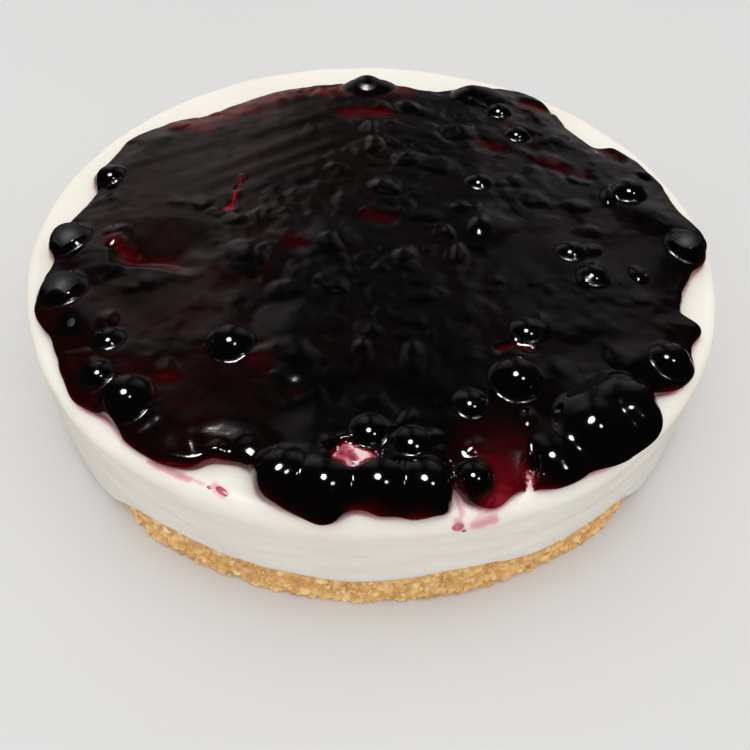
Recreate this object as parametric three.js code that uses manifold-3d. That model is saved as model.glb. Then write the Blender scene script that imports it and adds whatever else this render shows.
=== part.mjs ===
// A round chilled fruit cream cake, whole and uncut: a pressed biscuit-crumb base, a thick smooth
// cream layer and a dark berry compote spread over the top, with whole berries standing proud of it.
// Millimetres, +Z up. The origin is on the cake's axis, on the underside of the crumb base.
// Angles are in degrees, anticlockwise from +X as seen from above, so the front is at -90.

import * as THREE from "three";
import { mergeVertices } from "three/addons/utils/BufferGeometryUtils.js";
import Module from "manifold-3d";

const wasm = await Module();
wasm.setup();

// Driving dimensions
const CAKE_RADIUS = 115; // a 230 mm springform ring
const BASE_HEIGHT = 12;
const CREAM_TOP = 39;
const TOP_EDGE_RADIUS = 4.5;
const GAP = 0.3; // between pieces that touch
const WALL_STEPS = 96; // round the cream
const CRUMB_STEPS = 144; // round the crumb base

// Crumb base
const BARE_INSET = 0.3; // of the crumb wall behind the cream wall, where it shows
const COVERED_INSET = 3.5; // and where cream was smeared down over it
const CRAG = 0.6; // how far single crumbs stand out or are missing
const CRAG_ROWS = [0.3, 0.65, 1]; // heights of the craggy rows, as shares of the bare band
const FOOT_SPREAD = 0.8; // of its foot, where it shows
const CREAM_SKIRT_FOOT = 1; // gap under the smeared cream
const CRUMB_ARCS = [ // where the crumb wall shows
  { middle: -87.5, half: 46 },
  { middle: 100, half: 36 },
];
const ARC_RAMP = 14; // degrees over which the cream comes down
const CRUMB_RISE = { angle: -79, height: 2, width: 8 }; // a hump in the crumb's top line
const RIM_WAVES = [[9, 0.4], [17, 0.35], [26, 0.25]]; // count, amplitude
const LIP_DROP = 0.6; // of the cream's lower edge below the crumb's top behind it
const INTERFACE_RADIUS = 98; // inside this the crumb's top is level

// Cream wall: even counts only, so that opposite sides match and the cake stays centred
const WALL_WAVES = [[2, 0.1], [6, 0.14], [10, 0.1], [22, 0.05]];
const LIP_CHAMFER = 0.7;
const EDGE_SHARES = [1, 2 / 3, 1 / 3, 0]; // rings round the rounded top edge

// Compote
const COMPOTE_DEPTH = 5.6;
const COMPOTE_EDGE_DEPTH = 4;
const COMPOTE_GAP = 0.45; // under it, where it also bends over the cream's rounded edge
const OUTLINE_SPLIT = 2; // mesh points for each outline point
// Outline of the spread compote: angle, then the way from the axis over the cream's surface
const COMPOTE_OUTLINE = [
  [-177, 102.5], [-170, 107], [-166, 105], [-161, 108], [-155, 111], [-147, 109.5], [-140, 111],
  [-134, 112], [-128, 110], [-124, 111.5], [-118, 111.5], [-113.5, 109], [-111.5, 105.5],
  [-106.5, 104.5], [-104, 110], [-99, 112.5], [-94, 113.5], [-91.5, 111], [-88, 112],
  [-82, 112.5], [-79.5, 112], [-78, 106], [-77, 110.5], [-74, 113], [-70, 111], [-65, 113],
  [-60, 113], [-56, 114], [-50, 114], [-46, 112], [-43, 108], [-40, 111], [-36, 112.5],
  [-30, 109.5], [-26, 110], [-24, 104], [-13, 106], [-9, 110.5], [-2, 112], [4, 108], [12, 108],
  [20, 107], [27, 105], [30, 97.5], [38, 98], [42, 101], [50, 105], [58, 105], [66, 99], [74, 90],
  [83, 91.5], [92, 94], [101, 93], [116, 93.5], [130, 92], [137, 92.5], [146, 99.5], [155, 104],
  [164, 103], [169, 103.5], [174, 98.5],
];
const EDGE_PROFILE = [ // from the foot of the compote's edge to its level top: inset, share of depth
  [-0.5, 0.45],
  [0.3, 0.85],
  [2.4, 1],
];
const EDGE_WIDTH = 9;
const UNDERSIDE_INSETS = [6.6, 4.4, 2.2];
const CREAM_WINDOW = { angle: -92, distance: 99.5, radius: 2.6 }; // where the cream shows through

// Whole berries standing proud: angle, distance from the axis, diameter
const PROUD_BERRIES = [
  [-170, 99.5, 12.5], [-156, 101.5, 13], [-147.5, 101, 9.5], [169, 96, 10], [-162.5, 90, 9],
  [-128, 103.5, 12], [-140, 96, 9], [-135, 104, 8.5], [-122, 73.5, 12], [-111, 61, 9.5],
  [-106, 75, 9.5], [-101.8, 105.5, 11], [-95.2, 106.5, 11], [-98, 94.5, 9.5], [-88.2, 105.5, 11],
  [-81.8, 106, 10.5], [-83, 95, 10], [-89.5, 90.5, 9.5], [-75.5, 106, 8.5], [-71.5, 85.5, 9],
  [-61, 83, 13], [-50, 71, 9.5], [-53, 95.5, 9.5], [-49.5, 106.5, 12], [-56.5, 106, 12],
  [-64.5, 106, 8.5], [-36.5, 105.5, 11], [-42, 101, 8.5], [-7.5, 103.5, 11.5], [-1, 101, 9],
  [8.5, 91, 11.5], [1, 92, 8.5], [-23.5, 75.5, 9.5], [-16.5, 67, 9.5], [92.5, 85, 12.5],
  [63, 89, 10], [53, 82.5, 10], [42, 74, 9.5], [34, 87, 10], [-9, 38, 9], [25, 41.5, 9.5],
  [-131, 21, 9.5], [-145, 48.5, 9.5],
];
const BERRY_SQUAT = 0.88; // height over width
const PIT_SIDES = 10; // of the pit that the compote leaves round each

// Berries sunk under the glaze, which only swell its surface
const SUNKEN_COUNT = 60;
const SUNKEN_SIDES = 6;
const SUNKEN_RADIUS = [5.5, 8];
const SUNKEN_HEIGHT = [1.8, 3];
const SUNKEN_DROP = 0.3; // of their widest level below the glaze
const SUNKEN_FIELD = 100; // they lie within this radius
const SUNKEN_CLEARANCE = 0.8; // share of two radii that neighbours keep
const SUNKEN_EDGE = 1.5; // way from the outline
const MAX_TRIES = 6000;

const degrees = THREE.MathUtils.degToRad;
const { lerp, smoothstep } = THREE.MathUtils;

// A repeatable stream of numbers from 0 to 1
function seededRandom(seed) {
  let state = seed;
  return () => {
    state = (state * 1664525 + 1013904223) % 4294967296;
    return state / 4294967296;
  };
}

// A closed ripple round the cake: a sum of waves, each with its own random phase
function makeRipple(waves, random) {
  const phased = waves.map(([count, amplitude]) => [count, amplitude, 2 * Math.PI * random()]);
  return (angle) => phased.reduce(
    (sum, [count, amplitude, phase]) => sum + amplitude * Math.sin(count * degrees(angle) + phase),
    0,
  );
}

function angleBetween(a, b) {
  return Math.abs(((a - b + 540) % 360) - 180);
}

function polarPoint(angle, distance, z) {
  const turn = degrees(angle);
  return new THREE.Vector3(distance * Math.cos(turn), distance * Math.sin(turn), z);
}

// A closed solid of rings, listed from the middle of the underside outwards, up, and back to the
// middle of the top. Each ring has the same number of points, anticlockwise.
function ringSolid(bottomZ, rings, topZ) {
  const count = rings[0].length;
  const positions = [0, 0, bottomZ];
  for (const ring of rings) {
    for (const point of ring) {
      positions.push(point.x, point.y, point.z);
    }
  }
  positions.push(0, 0, topZ);
  const at = (ring, step) => 1 + ring * count + (step % count);
  const top = 1 + rings.length * count;
  const triangles = [];
  for (let step = 0; step < count; step++) {
    triangles.push(0, at(0, step + 1), at(0, step));
    for (let ring = 0; ring + 1 < rings.length; ring++) {
      const [a, b] = [at(ring, step), at(ring, step + 1)];
      const [c, d] = [at(ring + 1, step + 1), at(ring + 1, step)];
      triangles.push(a, b, c, a, c, d);
    }
    triangles.push(top, at(rings.length - 1, step), at(rings.length - 1, step + 1));
  }
  const geometry = new THREE.BufferGeometry();
  geometry.setAttribute("position", new THREE.Float32BufferAttribute(positions, 3));
  geometry.setIndex(triangles);
  return geometry;
}

function toManifold(geometry) {
  const bare = geometry.clone();
  bare.deleteAttribute("normal");
  bare.deleteAttribute("uv");
  const merged = mergeVertices(bare, 1e-4);
  return new wasm.Manifold(new wasm.Mesh({
    numProp: 3,
    vertProperties: new Float32Array(merged.attributes.position.array),
    triVerts: new Uint32Array(merged.index.array),
  }));
}

function toGeometry(manifold) {
  const mesh = manifold.getMesh();
  const geometry = new THREE.BufferGeometry();
  geometry.setAttribute("position", new THREE.BufferAttribute(mesh.vertProperties, 3));
  geometry.setIndex(new THREE.BufferAttribute(mesh.triVerts, 1));
  return geometry;
}

function largestPiece(manifold) {
  const pieces = manifold.decompose();
  return pieces.reduce((best, piece) => (piece.volume() > best.volume() ? piece : best));
}

const shapeRandom = seededRandom(2024);
const rimRipple = makeRipple(RIM_WAVES, shapeRandom);
const wallRipple = makeRipple(WALL_WAVES, shapeRandom);

// 1 where the crumb wall is bare, 0 where cream covers it down to the foot
function crumbShows(angle) {
  const shares = CRUMB_ARCS.map(({ middle, half }) => (
    1 - smoothstep(angleBetween(angle, middle), half - ARC_RAMP, half)
  ));
  return Math.max(...shares);
}

// The cream's lower edge, and the height of the joint between crumb and cream behind it
function creamFoot(angle) {
  const away = angleBetween(angle, CRUMB_RISE.angle) / CRUMB_RISE.width;
  const top = BASE_HEIGHT + CRUMB_RISE.height * Math.exp(-away * away);
  const shows = crumbShows(angle);
  return {
    foot: lerp(CREAM_SKIRT_FOOT, top - LIP_DROP + rimRipple(angle), shows),
    joint: lerp(BASE_HEIGHT, top + LIP_DROP, shows),
  };
}

function creamRadius(angle) {
  return CAKE_RADIUS + wallRipple(angle);
}

function crumbRadius(angle) {
  return CAKE_RADIUS - lerp(COVERED_INSET, BARE_INSET, crumbShows(angle));
}

// Inside radius of the cream's skirt, outside the crumb
function skirtRadius(angle) {
  return crumbRadius(angle) + lerp(CRAG + GAP, -GAP, crumbShows(angle));
}

// The point of the cream's outer surface that is a given way from the axis, measured along the
// level top, over its rounded edge and down the wall, and then a height off that surface
function onCream(angle, way, height) {
  const flat = creamRadius(angle) - TOP_EDGE_RADIUS;
  if (way <= flat) {
    return polarPoint(angle, way, CREAM_TOP + height);
  }
  const bend = Math.min((way - flat) / TOP_EDGE_RADIUS, Math.PI / 2);
  const beyond = way - flat - bend * TOP_EDGE_RADIUS;
  const out = (TOP_EDGE_RADIUS + height) * Math.sin(bend);
  const up = (TOP_EDGE_RADIUS + height) * Math.cos(bend);
  return polarPoint(angle, flat + out, CREAM_TOP - TOP_EDGE_RADIUS + up - beyond);
}

function ringOf(steps, pointAt) {
  return Array.from({ length: steps }, (_, step) => pointAt((360 * step) / steps));
}

function makeCrumbBase() {
  const random = seededRandom(7);
  const crumb = () => CRAG * (2 * random() - 1);
  const bandTop = (angle) => creamFoot(angle).foot - 1.5 * GAP;
  const innerTop = (angle) => creamFoot(angle).joint - 3 * GAP;
  const neck = (angle) => skirtRadius(angle) - 2 * GAP - CRAG;
  const ring = (radiusAt, heightAt) => ringOf(
    CRUMB_STEPS,
    (angle) => polarPoint(angle, radiusAt(angle), heightAt(angle)),
  );
  const rings = [
    ring((angle) => crumbRadius(angle) + FOOT_SPREAD * crumbShows(angle) + crumb(), () => 0),
    ...CRAG_ROWS.map((share) => ring(
      (angle) => crumbRadius(angle) + crumb(),
      (angle) => bandTop(angle) * share,
    )),
    ring(neck, bandTop),
    ring(neck, innerTop),
    ring(() => INTERFACE_RADIUS, () => BASE_HEIGHT - GAP / 2),
  ];
  return ringSolid(0, rings, BASE_HEIGHT - GAP / 2);
}

function makeCreamLayer() {
  const flatTop = (angle) => creamRadius(angle) - TOP_EDGE_RADIUS;
  const quarter = (TOP_EDGE_RADIUS * Math.PI) / 2;
  const foot = (angle) => creamFoot(angle).foot;
  const joint = (angle) => creamFoot(angle).joint + GAP / 2;
  const ring = (radiusAt, heightAt) => ringOf(
    WALL_STEPS,
    (angle) => polarPoint(angle, radiusAt(angle), heightAt(angle)),
  );
  const rings = [
    ring(() => INTERFACE_RADIUS, () => BASE_HEIGHT + GAP / 2),
    ring(skirtRadius, joint),
    ring(skirtRadius, foot),
    ring((angle) => creamRadius(angle) - LIP_CHAMFER / 2, foot),
    ring(creamRadius, (angle) => foot(angle) + LIP_CHAMFER),
    ...EDGE_SHARES.map((share) => ringOf(
      WALL_STEPS,
      (angle) => onCream(angle, flatTop(angle) + quarter * share, 0),
    )),
  ];
  return ringSolid(BASE_HEIGHT + GAP / 2, rings, CREAM_TOP);
}

// The compote's outline as evenly split curve points: angle and way from the axis
function compoteOutline() {
  const corners = COMPOTE_OUTLINE.map(([angle, way]) => polarPoint(angle, way, 0));
  const curve = new THREE.CatmullRomCurve3(corners, true, "centripetal");
  const points = curve.getPoints(corners.length * OUTLINE_SPLIT).slice(0, -1);
  return points.map((point) => ({
    angle: THREE.MathUtils.radToDeg(Math.atan2(point.y, point.x)),
    way: Math.hypot(point.x, point.y),
  }));
}

function makeSpread() {
  const outline = compoteOutline();
  const ring = (inset, height) => outline.map(
    ({ angle, way }) => onCream(angle, way - inset, COMPOTE_GAP + height),
  );
  const rings = [
    ...UNDERSIDE_INSETS.map((inset) => ring(inset, 0)),
    ring(0, 0),
    ...EDGE_PROFILE.map(([inset, share]) => ring(inset, share * COMPOTE_EDGE_DEPTH)),
    ring(EDGE_WIDTH, COMPOTE_DEPTH),
  ];
  const level = CREAM_TOP + COMPOTE_GAP;
  return toManifold(ringSolid(level, rings, level + COMPOTE_DEPTH));
}

function berryGeometry({ radius, centre, turn }) {
  const geometry = new THREE.IcosahedronGeometry(1, 1);
  geometry.scale(radius, radius, radius * BERRY_SQUAT);
  geometry.rotateZ(degrees(turn));
  geometry.translate(centre.x, centre.y, centre.z);
  return geometry;
}

// An upright prism whose flat sides keep clear of what stands in it
function pitGeometry(clearRadius, sides, centre) {
  const radius = clearRadius / Math.cos(Math.PI / sides);
  const geometry = new THREE.CylinderGeometry(radius, radius, 4 * COMPOTE_DEPTH, sides);
  geometry.rotateX(Math.PI / 2);
  geometry.translate(centre.x, centre.y, CREAM_TOP + COMPOTE_DEPTH);
  return geometry;
}

function placeBerries() {
  return PROUD_BERRIES.map(([angle, distance, diameter], index) => {
    const radius = diameter / 2;
    const z = CREAM_TOP + GAP + radius * BERRY_SQUAT;
    return { radius, centre: polarPoint(angle, distance, z), turn: 37 * index };
  });
}

// Low domes over sunken berries, clear of the proud ones and not crowded on each other
function placeSunken(berries) {
  const random = seededRandom(31);
  const glaze = CREAM_TOP + COMPOTE_GAP + COMPOTE_DEPTH;
  const sunken = [];
  let tries = 0;
  while (sunken.length < SUNKEN_COUNT && tries < MAX_TRIES) {
    tries += 1;
    const radius = lerp(...SUNKEN_RADIUS, random());
    const distance = (SUNKEN_FIELD - radius) * Math.sqrt(random());
    const height = lerp(...SUNKEN_HEIGHT, random());
    const centre = polarPoint(360 * random(), distance, glaze - SUNKEN_DROP);
    const others = [...berries, ...sunken];
    const clear = others.every((other) => {
      const apart = Math.hypot(centre.x - other.centre.x, centre.y - other.centre.y);
      return apart > SUNKEN_CLEARANCE * (radius + other.radius);
    });
    const turn = 360 * random();
    if (clear && reachesInside(centre, radius)) {
      sunken.push({ radius, height, centre, turn });
    }
  }
  return sunken;
}

// Whether a dome of this radius stays on the spread compote
function reachesInside(centre, radius) {
  return compoteOutline().every(({ angle, way }) => {
    const edge = polarPoint(angle, way, 0);
    return Math.hypot(centre.x - edge.x, centre.y - edge.y) > radius + SUNKEN_EDGE;
  });
}

function domeGeometry({ radius, height, centre, turn }) {
  const geometry = new THREE.SphereGeometry(1, SUNKEN_SIDES, 4);
  geometry.rotateX(Math.PI / 2);
  geometry.scale(radius, radius, height);
  geometry.rotateZ(degrees(turn));
  geometry.translate(centre.x, centre.y, centre.z);
  return geometry;
}

function makeCompote(berries) {
  let compote = makeSpread();
  for (const dome of placeSunken(berries)) {
    compote = compote.add(toManifold(domeGeometry(dome)));
  }
  for (const berry of berries) {
    const pit = pitGeometry(berry.radius + GAP, PIT_SIDES, berry.centre);
    compote = compote.subtract(toManifold(pit));
  }
  const { angle, distance, radius } = CREAM_WINDOW;
  const window = pitGeometry(radius, SUNKEN_SIDES, polarPoint(angle, distance, CREAM_TOP));
  return toGeometry(largestPiece(compote.subtract(toManifold(window))));
}

const crumbMaterial = new THREE.MeshStandardMaterial({ color: 0xc0965c, roughness: 0.9, metalness: 0 });
const creamMaterial = new THREE.MeshStandardMaterial({ color: 0xf1ece0, roughness: 0.5, metalness: 0 });
const compoteMaterial = new THREE.MeshStandardMaterial({ color: 0x2c0610, roughness: 0.15, metalness: 0 });
const berryMaterial = new THREE.MeshStandardMaterial({ color: 0x14101c, roughness: 0.2, metalness: 0 });

const cake = new THREE.Group();

function addPiece(name, geometry, material) {
  const mesh = new THREE.Mesh(geometry, material);
  mesh.name = name;
  cake.add(mesh);
}

const berries = placeBerries();
addPiece("crumb_base", makeCrumbBase(), crumbMaterial);
addPiece("cream_layer", makeCreamLayer(), creamMaterial);
addPiece("compote", makeCompote(berries), compoteMaterial);
berries.forEach((berry, index) => {
  const name = `berry_${String(index + 1).padStart(2, "0")}`;
  addPiece(name, berryGeometry(berry), berryMaterial);
});

export default cake;
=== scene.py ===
"""Looks of a whole round chilled cake: a pressed biscuit-crumb base, a thick smooth cream layer and
a dark berry compote spread over the top, with whole berries standing proud of it.

All is in millimetres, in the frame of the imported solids, and turned to metres where a mesh is made:
+Z up, the origin on the cake's axis under its base. Angles are in degrees, anticlockwise from +X as
seen from above, so the front is at -90. A "way" is a distance from the axis, along the cream's level
top, over its rounded edge and down its wall. A "spot" is a place on that surface, flattened out.
"""

import itertools
import math

import bmesh
import bpy
import numpy as np
from mathutils import Matrix, Vector
from mathutils.kdtree import KDTree


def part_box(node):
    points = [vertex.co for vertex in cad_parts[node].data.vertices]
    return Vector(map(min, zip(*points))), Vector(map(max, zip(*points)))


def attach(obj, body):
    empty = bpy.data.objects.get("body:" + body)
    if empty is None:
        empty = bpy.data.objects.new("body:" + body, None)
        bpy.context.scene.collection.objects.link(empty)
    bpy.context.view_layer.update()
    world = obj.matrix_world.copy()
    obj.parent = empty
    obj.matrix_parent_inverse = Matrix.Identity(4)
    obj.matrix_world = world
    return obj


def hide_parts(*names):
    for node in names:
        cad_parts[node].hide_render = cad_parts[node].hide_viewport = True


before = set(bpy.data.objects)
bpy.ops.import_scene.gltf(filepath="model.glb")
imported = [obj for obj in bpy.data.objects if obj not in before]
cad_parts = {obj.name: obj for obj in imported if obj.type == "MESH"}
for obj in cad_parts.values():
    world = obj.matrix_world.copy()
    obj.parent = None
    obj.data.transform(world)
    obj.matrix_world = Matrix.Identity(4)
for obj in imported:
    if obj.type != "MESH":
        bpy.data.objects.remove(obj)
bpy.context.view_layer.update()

MM = 0.001
CREAM_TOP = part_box("cream_layer")[1][2] / MM

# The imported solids' driving dimensions
CAKE_RADIUS = 115
TOP_EDGE_RADIUS = 4.5
BARE_INSET = 0.3
COVERED_INSET = 3.5
CRAG = 0.6
FOOT_SPREAD = 0.8
CREAM_SKIRT_FOOT = 1
GAP = 0.3
INTERFACE_RADIUS = 98
BASE_HEIGHT = 12
LIP_DROP = 0.6
LIP_RADIUS = 0.7
CRUMB_ARCS = [(-87.5, 46), (100, 36)]  # middle, half width: where the crumb wall shows
ARC_RAMP = 11  # over which cream comes down at each end, a little shorter than the solid's
CRUMB_RISE = (-79, 2, 8)  # angle, height, width of a hump in the crumb's top line
RIM_WAVES = [(9, 0.4), (17, 0.35), (26, 0.25)]
WALL_WAVES = [(2, 0.1), (6, 0.14), (10, 0.1), (22, 0.05)]
WAVE_SEED = 2024

# Outline of the compote: angle and way. At 49 and 57 degrees it lies further out than the solid's.
COMPOTE_OUTLINE = [
    (-177, 102.5), (-170, 107), (-166, 105), (-161, 108), (-155, 111), (-147, 109.5), (-140, 111),
    (-134, 112), (-128, 110), (-124, 111.5), (-118, 111.5), (-113.5, 109), (-111.5, 105.5),
    (-106.5, 104.5), (-104, 110), (-99, 112.5), (-94, 113.5), (-91.5, 111), (-88, 112),
    (-82, 112.5), (-79.5, 112), (-78, 106), (-77, 110.5), (-74, 113), (-70, 111), (-65, 113),
    (-60, 113), (-56, 114), (-50, 114), (-46, 112), (-43, 108), (-40, 111), (-36, 112.5),
    (-30, 109.5), (-26, 110), (-24, 104), (-13, 106), (-9, 110.5), (-2, 112), (4, 108), (12, 108),
    (20, 107), (27, 105), (30, 97.5), (38, 98), (42, 101), (49, 107), (57, 107), (66, 99), (74, 90),
    (83, 91.5), (92, 94), (101, 93), (116, 93.5), (130, 92), (137, 92.5), (146, 99.5), (155, 104),
    (164, 103), (169, 103.5), (174, 98.5),
]
OUTLINE_SPLIT = 24  # curve points for each outline point
SOLID_SPLIT = 2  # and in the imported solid

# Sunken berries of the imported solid, which swell the glaze
SUNKEN_COUNT = 60
SUNKEN_RADIUS = (5.5, 8)
SUNKEN_HEIGHT = (1.8, 3)
SUNKEN_FIELD = 100
SUNKEN_CLEARANCE = 0.8
SUNKEN_EDGE = 1.5
SUNKEN_SEED = 31
MAX_TRIES = 6000

# Mesh steps
CREAM_STEPS = 900
CRUMB_STEPS = 1440
GLAZE_STEP = 0.72

# The compote's gel
GEL_DEPTH = 5.2
GEL_EDGE_DEPTH = 3.6
EDGE_WIDTH = 12
GEL_HEAP = 0.7  # how much higher it lies well inside
HEAP_WIDTH = (6, 40)
BEAD_WIDTH = 2.4
BEAD_FOOT = 40  # degrees that the bead's foot turns in under it
BEAD_STEPS = 13
EDGE_RED = 1.2  # width of the see-through edge
EDGE_SEEN = (0.5, 5, 0.6)  # gel that light meets on the outline, how it grows inwards, with what power
LEVEL_SEEN = (0.2, 1.5)  # and the most it meets: this, and so much for each millimetre of gel
BERRY_SWELL = 0.4  # how much higher gel lies round a whole berry
BERRY_SWELL_REACH = (0.8, 2.8)  # of the berry's radius
SWELL_EDGE = (2, 12)  # from the outline
BERRY_FILLET = 1.0  # where gel wets a whole berry
CROWD_FILLET = 5  # and between berries that stand together
CROWD = {12, 13, 15, 16, 24, 25}
FILM_BESIDE = 0.4  # how far gel goes out beyond a whole berry
FILM_OVER = 0.25  # and up over it
DULL = {1, 2, 29}  # berries whose crowns are bare
DULL_FILM = -0.8
BURIED = {3, 5, 10, 11, 14, 23, 26, 28, 30, 32, 36, 39, 40, 42, 43}  # berries that only swell the gel
BURIED_REACH = 2.8  # how wide that swelling is, of the berry's radius
BURIED_SWELL = 1.2
BURIED_SQUASH = 0.7  # the share of their height that is drawn, so that the gel hides them
SQUASH = {26: 0.3, 4: 0.82, 1: 0.85, 2: 0.9, 27: 0.88, 35: 0.82}  # the same of single berries
# Mounds of gel over berries that stand together: x, y of both ends, half width, height
MOUNDS = [
    (-20, -103.5, 14, -104.5, 8, 7.9),
    (58, -86, 68, -79.5, 11, 10.6),
    (49, -94.5, 57, -90, 8, 6.0),
    (-6, 84.5, 0, 84.5, 9, 8.0),
    (40, 79, 46, 78, 9, 8),
]
MOUND_FILLET = 4
MOUND_SINK = 0.12  # how far under the cream's top their rims start, of their height
CREASE_WIDTH = 0.9  # gel is dull where its level and a berry's cover come nearer than this
DRAPE_TURN = 0.92  # where the gel leaves the berry's round, of its radius
DRAPE_REACH = 3  # and how far its slope is followed
DEEP = 6.0  # gel that no light comes back through
SUNK_INTO_CREAM = 0.3
PULP_LEFT = 0.4  # how high the pulp rises at the left, of what it does elsewhere
SEEN_MORE = 0.6  # how much more gel light meets than is there, as fruit is darker
LEFT_THINNER = 1.35  # and how much less at the left

# Slopes scooped out of the gel, down towards the front: x, y of the lowest part, half length, how far
# the slope goes back and the wall in front of it comes forward, depth, turn, and the gel that the
# light meets at the foot and the top of the slope
SCOOPS = [
    (34, -104, 12, 26, 12, 0.6, 0, 1.2, 5.8),  # the pool at the front
    (-67, -28, 12, 22, 5, 2.8, -8, 2.4, 10),  # the hollow at the left
]

THIN_TILT = 0.16  # how much a thin spot leans to the front
# Where the gel is thin: start x, y, end x, y, half width, gel left there, gel that the light meets
THIN_SPOTS = [
    (-84, -19, -76, -26, 4.5, 4.8, 2.0),
    (-50.4, -1.0, -48.6, 0, 1.8, 5.1, 0.7),  # scraped streak
    (-48.2, 0, -47.8, 9, 1.3, 5.2, 0.9),
    (-47.8, 9, -46.7, 18.5, 1.0, 5.2, 1.2),
    (-12, 64.5, 4, 64, 6, 4.8, 2.1),
    (62, 76, 70, 74, 5, 3, 2.0),
    (88, 47, 92, 40, 5, 3.2, 2.9),
    (40, 44, 46, 41, 5, 4.6, 3.1),
    (62, 34, 76, 24, 5, 4.6, 3.1),
    (52, 58, 60, 50, 4, 4.6, 3.4),
    (-1, -2, 4, -4, 4.5, 5, 3.0),
    (-28, -16, -22, -18, 4.5, 5, 3.1),
    (-82, -69, -62, -72, 5, 5.4, 3.5),
    (-56, -74.4, -54, -74.4, 4, 5.3, 2.6),
    (-32, -68, -20, -75, 5, 5.4, 3.4),
    (37, -61.5, 42, -59.5, 1.6, 4.6, 2.2),
    (42, -59.5, 46, -61.5, 1.6, 4.6, 2.2),
]
BACK_BAND = (114, 42, 15, 1.8)  # pink band along the back edge: middle, half width, depth, gel
# Where cream shows through: x, y, half length, half width, turn, and how high it swells up there
CREAM_WINDOWS = [
    (-3.2, -97.6, 5.6, 3.9, 12, 5.9), (40.8, -102, 4.2, 1.2, 84, 1.2),
]
WINDOW_BEAD = 1.8
WINDOW_SLOPE = (-1.5, 2.2)  # from inside their edge to outside it
WINDOW_SINK = 0.6  # how far the gel lies under the cream there
WINDOW_LIP = 0.2  # and how far its bead's foot is under it, and its top over it

# Calm parts of the glaze: x, y, half length, half width, turn. The first has long strokes.
CALM_FIELDS = [
    (-46, 38, 54, 27, 35),
    (-36, -84, 24, 11, -20),
    (56, -20, 20, 13, 10),
    (86, -24, 12, 14, 0),
    (-72, -50, 18, 9, 20),
    (30, 12, 12, 9, 0),
    (3, -8, 13, 8, 0),
    (35, -95, 13, 16, 0),
    (-67, -14, 13, 17, 0),
]
CALM_SHARE = 0.15  # of the lumps' height left there

# Lumps under the glaze that stand out: x, y, half length, half width, rise
MAIN_LUMPS = [
    (-58, 2, 5, 6, 1.4), (-66, 3, 5, 5, 1.4), (-46, -8, 5.3, 4.5, 1.1), (-41, -23, 7.3, 7, 2.0),
    (-35, -23, 2.9, 7, 1.9), (-58, 47, 6.1, 7, 1.7), (-56, 30, 4.2, 5.6, 1.3), (-40, 55, 6.3, 7, 2.0),
    (-25, 50, 3.5, 7, 1.7), (-16, 42, 6.1, 7, 1.6), (-8, 58, 3.6, 6.4, 1.5), (-3, 52, 5.3, 7, 1.7),
    (-1, 41, 4.3, 7, 1.6), (-76, 52, 5.3, 5.1, 1.2), (-69, 7, 4.8, 4, 0.9), (-13, -18, 5.2, 5.8, 1.4),
    (-26, -39, 6.2, 5.9, 1.4), (-12, -36, 7.7, 7, 1.7), (4, 14, 8.1, 7, 2.0), (-72, -44, 4.8, 5.2, 1.2),
    (-65, -50, 2.7, 4.3, 1.0), (-64, -64, 11.2, 5.2, 1.2), (-55, -72, 2.8, 5.5, 1.3),
    (-45, -81, 1.8, 4, 0.9), (-42, -86, 7.4, 6.6, 1.5), (-58, -89, 3.5, 5, 1.2),
    (-22, -66, 9.5, 7, 2.0), (-11, -54, 7.3, 5.3, 1.3), (0, -56, 5.3, 3.9, 0.9), (-2, -66, 3.8, 7, 1.7),
    (13, -66, 3.8, 7, 1.7), (10, -58, 3.9, 3.3, 0.8), (15, -42, 4.8, 3.6, 0.8), (50, -53, 4, 7, 1.9),
    (59, -54, 6.6, 5.5, 1.3), (71, -64, 5.7, 7, 1.8), (82, -37, 5.2, 4.7, 1.1), (14, 69, 6.5, 7, 2.0),
    (33, 50, 8.8, 7, 2.0), (13, 32, 8.5, 6.6, 1.6), (24, 28, 8.4, 6.5, 1.5), (18, -2, 9.7, 4.6, 1.1),
    (25, -11, 2.3, 5.2, 1.2), (37, -8, 4.6, 7, 2.0), (35, 4, 3.9, 4.8, 1.1), (11, -22, 4.4, 6.5, 1.5),
    (3, -29, 3.6, 3.9, 0.9), (28, -22, 3.6, 6.5, 1.5), (56, 9, 5.6, 6, 1.4), (71, 6, 5.5, 5, 1.2),
    (75, 24, 5.8, 7, 2.0), (83, 11, 3.2, 7, 2.0), (72, -9, 5.7, 4.6, 1.1), (79, -31, 4.3, 4.1, 1.0),
    (18, -34, 4.2, 3, 0.7), (38, -33, 3.5, 3.1, 0.7), (-68, -39, 4.2, 3.8, 0.9),
    (-48, -60, 3.2, 3.9, 0.9), (35, -75, 4.3, 4.7, 1.1), (53, -67, 4.4, 5, 1.2),
    (-31, -78, 4.9, 2.9, 0.7),
]
# Small lumps on the glaze, round enough to catch a lamp: x, y
GLINTS = [
    (-83, -19), (-85, -13), (-76, -54), (-76, -72), (-74, -76), (-38, -96), (-30, -96), (-15, -104),
    (-10, -107), (-6, -109), (-8, -111), (-2, -109), (-9, -95), (-5, -94), (5, -90), (8, -93),
    (10, -87), (13, -95), (15, -98), (18, -97), (16, -92), (15, -112), (27, -106), (27, -94),
    (26, -80), (48, -55), (42, -85), (65, -92), (59, -96), (54, -99), (99, 27), (30, 3),
    (66, -17), (71, -18), (70, -27), (67, -32), (84, -28),
]
GLINT_RADIUS = (2.8, 4)
GLINT_RISE = (0.7, 1.2)


def smoothstep(value, low, high):
    share = np.clip((value - low) / (high - low), 0, 1)
    return share * share * (3 - 2 * share)


def lerp(a, b, share):
    return a + (b - a) * share


def degrees_apart(a, b):
    return np.abs((a - b + 540) % 360 - 180)


def polar(angle, distance):
    turn = np.radians(angle)
    return distance * np.cos(turn), distance * np.sin(turn)


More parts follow.
